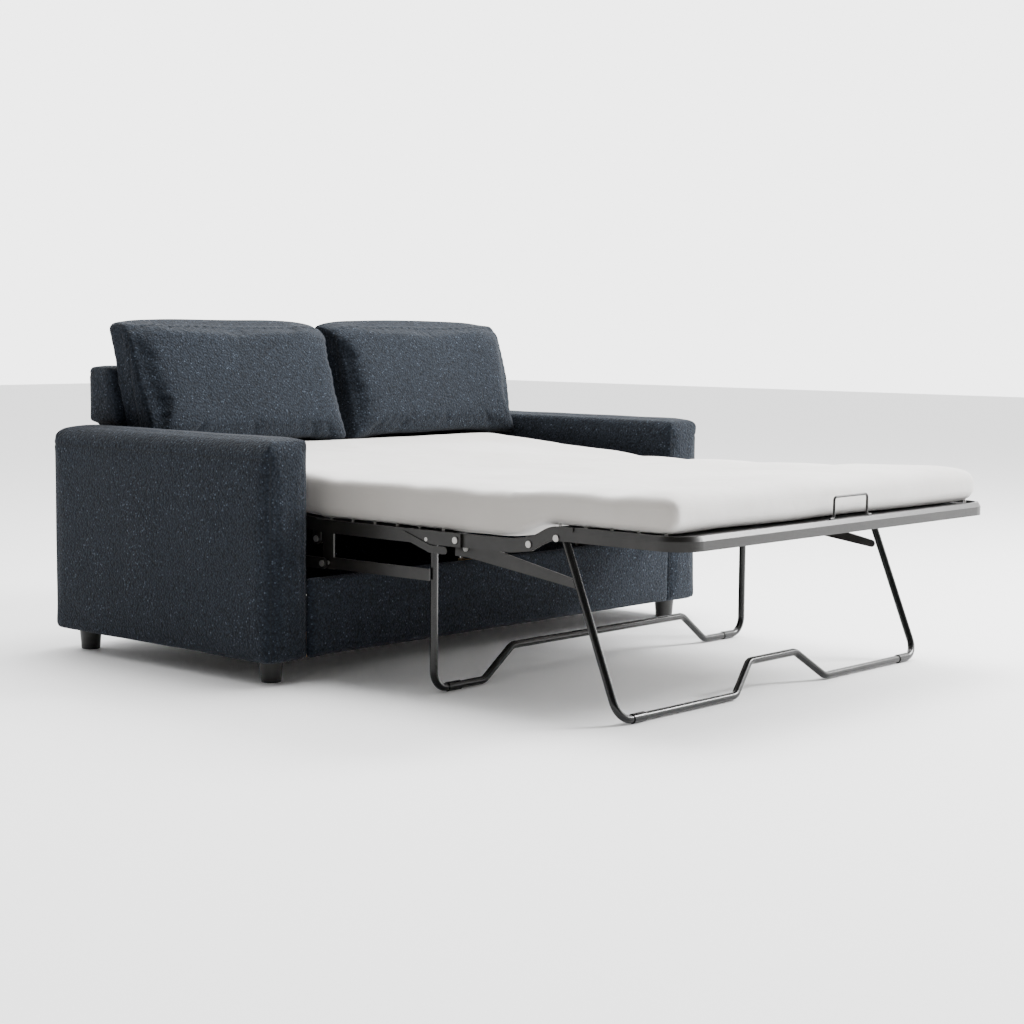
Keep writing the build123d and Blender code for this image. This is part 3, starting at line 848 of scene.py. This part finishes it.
@dataclass
class BackCushion:
    """One loose back cushion that leans on the back rail."""

    side: Side
    near: float = 0.002
    far: float = 0.732
    overhang: float = 0.016
    voxel: float = 0.0085
    outline: tuple = (
        (0.712, 0.538), (0.816, 0.866), (0.848, 0.903), (0.918, 0.903), (0.886, 0.765), (0.846, 0.540),
    )
    radii: tuple = (0.028, 0.030, 0.018, 0.022, 0.0, 0.016)

    def shell(self) -> bpy.types.Object:
        """Pillow form with sides that pull in between rounded corners."""
        work = bmesh.new()
        sign = self.side.value
        x_a, x_b = sorted((sign * (self.near + 0.006), sign * (self.far - 0.004)))
        SoftForm.prism(work, SoftForm.rounded(list(self.outline), list(self.radii)), x_a, x_b)
        piece = SoftForm.finish_mesh(f"back_cushion_cover_{self.side}", work)
        SoftForm.remesh(piece, self.voxel, 3)
        points = SoftForm.points(piece)
        centre = sign * (self.near + self.far) / 2
        half = (self.far - self.near) / 2
        across = np.clip(np.abs(points[:, 0] - centre) / half, 0, 1)
        height = np.clip((points[:, 2] - 0.56) / 0.34, 0, 1)
        corner = across ** 6 * np.clip((height - 0.55) / 0.45, 0, 1) ** 2
        points[:, 2] -= 0.022 * corner
        outer = np.abs(points[:, 0]) > abs(centre)
        above = np.clip((points[:, 2] - 0.62) / 0.10, 0, 1) * outer
        points[:, 0] += sign * self.overhang * above * across ** 3
        thin = across ** 10
        middle = 0.80 + 0.25 * (points[:, 2] - 0.56)
        points[:, 1] += (middle - points[:, 1]) * 0.12 * thin
        SoftForm.move(piece, points)
        return piece

    def keep(self, points: np.ndarray) -> np.ndarray:
        """Share of the swelling kept: little where the cushion rests."""
        back = 0.846 + 0.16 * np.clip(points[:, 2] - 0.61, 0, None)
        free = np.clip((back - points[:, 1]) / 0.03, 0.0, 1.0)
        sides = np.clip((self.far - np.abs(points[:, 0])) / 0.02, 0.25, 1.0)
        return (0.12 + 0.88 * free) * sides

    def seam_distance(self, points: np.ndarray) -> np.ndarray:
        """Distance to the seam that runs round the cushion's border."""
        height = points[:, 2] - 0.56
        line = 0.846 + 0.118 * height
        front = line - 0.052
        x = np.abs(points[:, 0])
        border = (x > self.far - 0.03) | (x < self.near + 0.03) | (points[:, 2] > 0.872)
        return np.where(border, np.minimum(np.abs(points[:, 1] - front), 1.0), 1.0)

    def puckers(self, piece: bpy.types.Object) -> None:
        """Small gathers along the top seam."""
        points = SoftForm.points(piece)
        normals = np.array([v.normal[:] for v in piece.data.vertices])
        near = np.exp(-((self.seam_distance(points) / 0.022) ** 2))
        turn = points[:, 0] * 2 * math.pi
        wave = np.sin(turn / 0.031) + 0.5 * np.sin(turn / 0.0137 + 1.0)
        SoftForm.move(piece, points + normals * (0.0011 * near * wave)[:, None])

    def build(self) -> bpy.types.Object:
        """Make, swell, sew and dress the cushion.

        Returns:
            The finished cushion.
        """
        piece = self.shell()
        SoftForm.inflate(piece, 4.0, 0.024, self.keep)
        SoftForm.refine(piece)
        SoftForm.crumple(piece, 0.0050, 0.20, 7.0 + self.side.value)
        SoftForm.sew(piece, self.seam_distance, 0.0036, 0.0018)
        self.puckers(piece)
        SoftForm.shade(piece)
        Finishes.COVER.dress(piece)
        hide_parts(f"back_cushion_{self.side}")
        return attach(piece, "root")


# ---------------------------------------------------------------- bed assembly


@dataclass(frozen=True)
class MattressCut:
    """One strip of the mattress and the joint that it bends over."""

    name: str
    node: str
    first: str
    second: str
    y_a: float
    y_b: float
    bend_a: float
    bend_b: float


@dataclass
class Mattress:
    """Thin foam mattress, made whole and cut where the bed folds."""

    half: float = 0.661
    voxel: float = 0.0155
    # strength of the painted shade on the mattress's side panels
    side_painted_shade: float = 0.62
    edge_round: float = 0.036
    end_round: float = 0.03
    bottom: tuple = (
        (-0.962, 0.4405), (-0.60, 0.4405), (-0.560, 0.434), (-0.50, 0.410), (-0.45, 0.401), (0.155, 0.401),
        (0.21, 0.406), (0.805, 0.4475),
    )
    top: tuple = (
        (0.797, 0.551), (0.21, 0.510), (0.155, 0.505), (0.02, 0.503), (-0.40, 0.508), (-0.60, 0.518),
        (-0.80, 0.524), (-0.962, 0.527),
    )
    cuts: tuple = (
        MattressCut("head", "mattress_head", "head_section", "seat_section", 0.310, 0.9, 0.517, 0.397),
        MattressCut("seat", "mattress_seat", "seat_section", "body_section", 0.010, 0.310, 0.220, 0.100),
        MattressCut("middle", "mattress_body", "body_section", "fold_link", -0.435, 0.010, -0.265, -0.375),
        MattressCut("foot", "mattress_foot", "fold_link", "foot_section", -1.1, -0.435, -0.495, -0.605),
    )

    def whole(self) -> bpy.types.Object:
        """The whole mattress, swollen and creased.

        Returns:
            The closed mesh.
        """
        soft, tight = self.edge_round, self.end_round
        radii = [tight, soft, tight, tight, soft, soft, soft, tight, tight] + [soft] * 7
        outline = SoftForm.rounded(list(self.bottom) + list(self.top), radii)
        work = bmesh.new()
        SoftForm.prism(work, outline, -self.half, self.half)
        piece = SoftForm.finish_mesh("mattress_whole", work)
        SoftForm.remesh(piece, self.voxel, 6)
        SoftForm.inflate(piece, 2.0, 0.006)
        SoftForm.crumple(piece, 0.0035, 0.34, 11.0)
        SoftForm.crumple(piece, 0.0010, 0.10, 4.0)
        SoftForm.refine(piece)
        self.creases(piece)
        SoftForm.shade(piece)
        return piece

    def creases(self, piece: bpy.types.Object) -> None:
        """Broad soft creases across the top, and a mark for painted shade on the side panels."""
        points = SoftForm.points(piece)
        top = np.clip((points[:, 2] - 0.48) / 0.02, 0, 1)
        drop = np.zeros(len(points))
        for y, slope, width, depth in (
            (-0.35, 0.05, 0.050, 0.0034), (-0.52, -0.04, 0.055, 0.0030), (0.13, 0.03, 0.040, 0.0040),
            (-0.12, 0.12, 0.036, 0.0026), (-0.68, 0.16, 0.040, 0.0022), (-0.82, -0.12, 0.040, 0.0020),
        ):
            wander = 0.02 * np.sin(points[:, 0] * 4.1 + y * 20)
            line = points[:, 1] - y - slope * points[:, 0] - wander
            drop += depth * np.exp(-((line / width) ** 2))
        points[:, 2] -= drop * top
        SoftForm.move(piece, points)
        # painted shade: mark the side panels so the ticking darkens them
        side = np.clip((np.abs(points[:, 0]) - self.half + 0.022) / 0.012, 0, 1) * self.side_painted_shade
        painted_shade_mask = piece.data.attributes.new("seam", "FLOAT", "POINT")
        painted_shade_mask.data.foreach_set("value", side.astype(np.float32))

    def slice(self, whole: bpy.types.Object, cut: MattressCut) -> bpy.types.Object:
        """Cut one closed strip out of the whole mattress.

        Args:
            whole: The whole mattress.
            cut: Where the strip lies.

        Returns:
            The finished strip.
        """
        work = bmesh.new()
        work.from_mesh(whole.data)
        for y, way in ((cut.y_a, -1), (cut.y_b, 1)):
            geometry = work.verts[:] + work.edges[:] + work.faces[:]
            made = bmesh.ops.bisect_plane(
                work, geom=geometry, plane_co=(0, y, 0), plane_no=(0, way, 0), clear_outer=True, dist=1e-6
            )
            rim = [e for e in made["geom_cut"] if isinstance(e, bmesh.types.BMEdge)]
            if rim:
                for cap in bmesh.ops.holes_fill(work, edges=rim, sides=0)["faces"]:
                    cap.smooth = False
                    for edge in cap.edges:
                        edge.smooth = False
        bmesh.ops.recalc_face_normals(work, faces=work.faces)
        strip = SoftForm.finish_mesh(f"mattress_cover_{cut.name}", work)
        Finishes.TICKING.dress(strip)
        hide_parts(cut.node)
        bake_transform(strip)
        return strip

    def build(self) -> None:
        """Make the strips and drop the whole."""
        whole = self.whole()
        for cut in self.cuts:
            LOG.info("mattress %s: %d faces", cut.name, len(self.slice(whole, cut).data.polygons))
        bpy.data.objects.remove(whole)


@dataclass
class BedFrame:
    """The steel frame's own finishes, springs and cloths."""

    spring_spacing: float = 0.075
    spring_length: float = 0.013
    spring_wire: float = 0.0008
    spring_inset: float = 0.03
    body_rail_x: float = 0.664
    foot_rail_x: float = 0.656
    HOLDERS: ClassVar[dict[str, str]] = {
        "body_deck": "body_front_bar", "foot_deck": "foot_rear_bar", "seat_deck": "seat_frame",
        "head_deck": "head_frame", "dust_cover": "base_boards",
    }

    def springs(self) -> None:
        """Rows of small springs between the rails and the deck cloths."""
        row = SpringRow(Finishes.STEEL, self.spring_spacing, self.spring_length, self.spring_wire)
        for deck, body, rail_x in (
            ("body_deck", "body_section", self.body_rail_x), ("foot_deck", "foot_section", self.foot_rail_x),
        ):
            low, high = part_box(deck)
            z = (low.z + high.z) / 2 - 0.001
            lines = []
            for sign in (-1, 1):
                x = sign * (rail_x + high.x) / 2
                lines.append([(x, low.y + self.spring_inset, z), (x, high.y - self.spring_inset, z)])
            piece = row.along(f"{deck}_springs", lines)
            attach(piece, body)
            LOG.info("%s springs: %d faces", deck, len(piece.data.polygons))

    def build(self) -> None:
        """Dress every steel node and add the springs."""
        by_slot = {
            "frame_steel": Finishes.FRAME, "gloss_tube": Finishes.TUBE, "pin_steel": Finishes.STEEL,
            "timber": Finishes.TIMBER, "black_foot": Finishes.FOOT, "deck_cloth": Finishes.DECK,
            "dust_cloth": Finishes.DUST,
        }
        for part in frame["record"]["subparts"]:
            finish = by_slot.get(part["material_slot"])
            if finish is not None:
                finish.dress(NODES[part["node"]])
        self.springs()


# ---------------------------------------------------------------------- studio


@dataclass
class Studio:
    """Floor, light and camera."""

    position: Point = (-4.094, -3.541, 0.891)
    yaw: float = 48.37
    pitch: float = -5.345
    roll: float = -0.52
    lens: float = 70.51
    bright_side: Point = (0.80, 0.60, 0.0)

    def floor(self) -> None:
        """Plain pale floor."""
        bpy.ops.mesh.primitive_plane_add(size=40.0, location=(0, 0, 0))
        plane = bpy.context.object
        plane.name = "floor"
        shading = Shading("pale_floor")
        shading.set(Base_Color=(0.95, 0.95, 0.95, 1.0), Roughness=0.8)
        plane.data.materials.append(shading.material)

    def light(self, name: str, place: Point, target: Point, size: float, power: float) -> None:
        """One soft area light.

        Args:
            name: The light's name.
            place: Where it stands.
            target: What it points at.
            size: Its width.
            power: Its power in watts.
        """
        lamp = bpy.data.lights.new(name, "AREA")
        lamp.shape, lamp.size, lamp.energy = "DISK", size, power
        holder = bpy.data.objects.new(name, lamp)
        bpy.context.scene.collection.objects.link(holder)
        holder.location = place
        holder.rotation_euler = (Vector(target) - Vector(place)).to_track_quat("-Z", "Y").to_euler()

    def camera(self) -> None:
        """Camera at the viewing angle of the display stand."""
        yaw, pitch = math.radians(self.yaw), math.radians(self.pitch)
        ahead = Vector((math.sin(yaw) * math.cos(pitch), math.cos(yaw) * math.cos(pitch), math.sin(pitch)))
        right = ahead.cross(Vector((0, 0, 1))).normalized()
        up = right.cross(ahead)
        turn = Matrix.Rotation(math.radians(self.roll), 3, ahead)
        right, up = turn @ right, turn @ up
        eye = bpy.data.cameras.new("camera")
        eye.lens, eye.sensor_width = self.lens, 36.0
        eye.clip_start = 0.05
        holder = bpy.data.objects.new("camera", eye)
        axes = Matrix((right, up, -ahead)).transposed().to_4x4()
        holder.matrix_world = Matrix.Translation(self.position) @ axes
        bpy.context.scene.collection.objects.link(holder)
        bpy.context.scene.camera = holder

    def build(self) -> None:
        """Set up the whole stage."""
        self.floor()
        self.camera()
        world = bpy.context.scene.world or bpy.data.worlds.new("studio")
        bpy.context.scene.world = world
        world.use_nodes = True
        nodes, link = world.node_tree.nodes, world.node_tree.links.new
        where = nodes.new("ShaderNodeTexCoord")
        side = nodes.new("ShaderNodeVectorMath")
        side.operation = "DOT_PRODUCT"
        side.inputs[1].default_value = self.bright_side
        fade = nodes.new("ShaderNodeMapRange")
        fade.inputs["From Min"].default_value = -0.35
        fade.inputs["From Max"].default_value = 0.5
        fade.inputs["To Min"].default_value = 0.12
        fade.inputs["To Max"].default_value = 4.2
        sky = nodes["Background"]
        sky.inputs["Color"].default_value = (1.0, 1.0, 1.0, 1.0)
        link(where.outputs["Generated"], side.inputs[0])
        link(side.outputs["Value"], fade.inputs["Value"])
        link(fade.outputs["Result"], sky.inputs["Strength"])
        self.light("key", (4.2, -3.0, 3.6), (0, -0.2, 0.3), 2.0, 700.0)
        self.light("top", (0.8, 0.4, 4.6), (0, 0, 0.3), 3.0, 300.0)


def main() -> None:
    """Build the sofa, the bed and the studio."""
    SofaBody().build()
    for side in Side:
        LOG.info("back cushion %s: %d faces", side, len(BackCushion(side).build().data.polygons))
    Mattress().build()
    BedFrame().build()
    Studio().build()


if __name__ == "__main__":
    main()
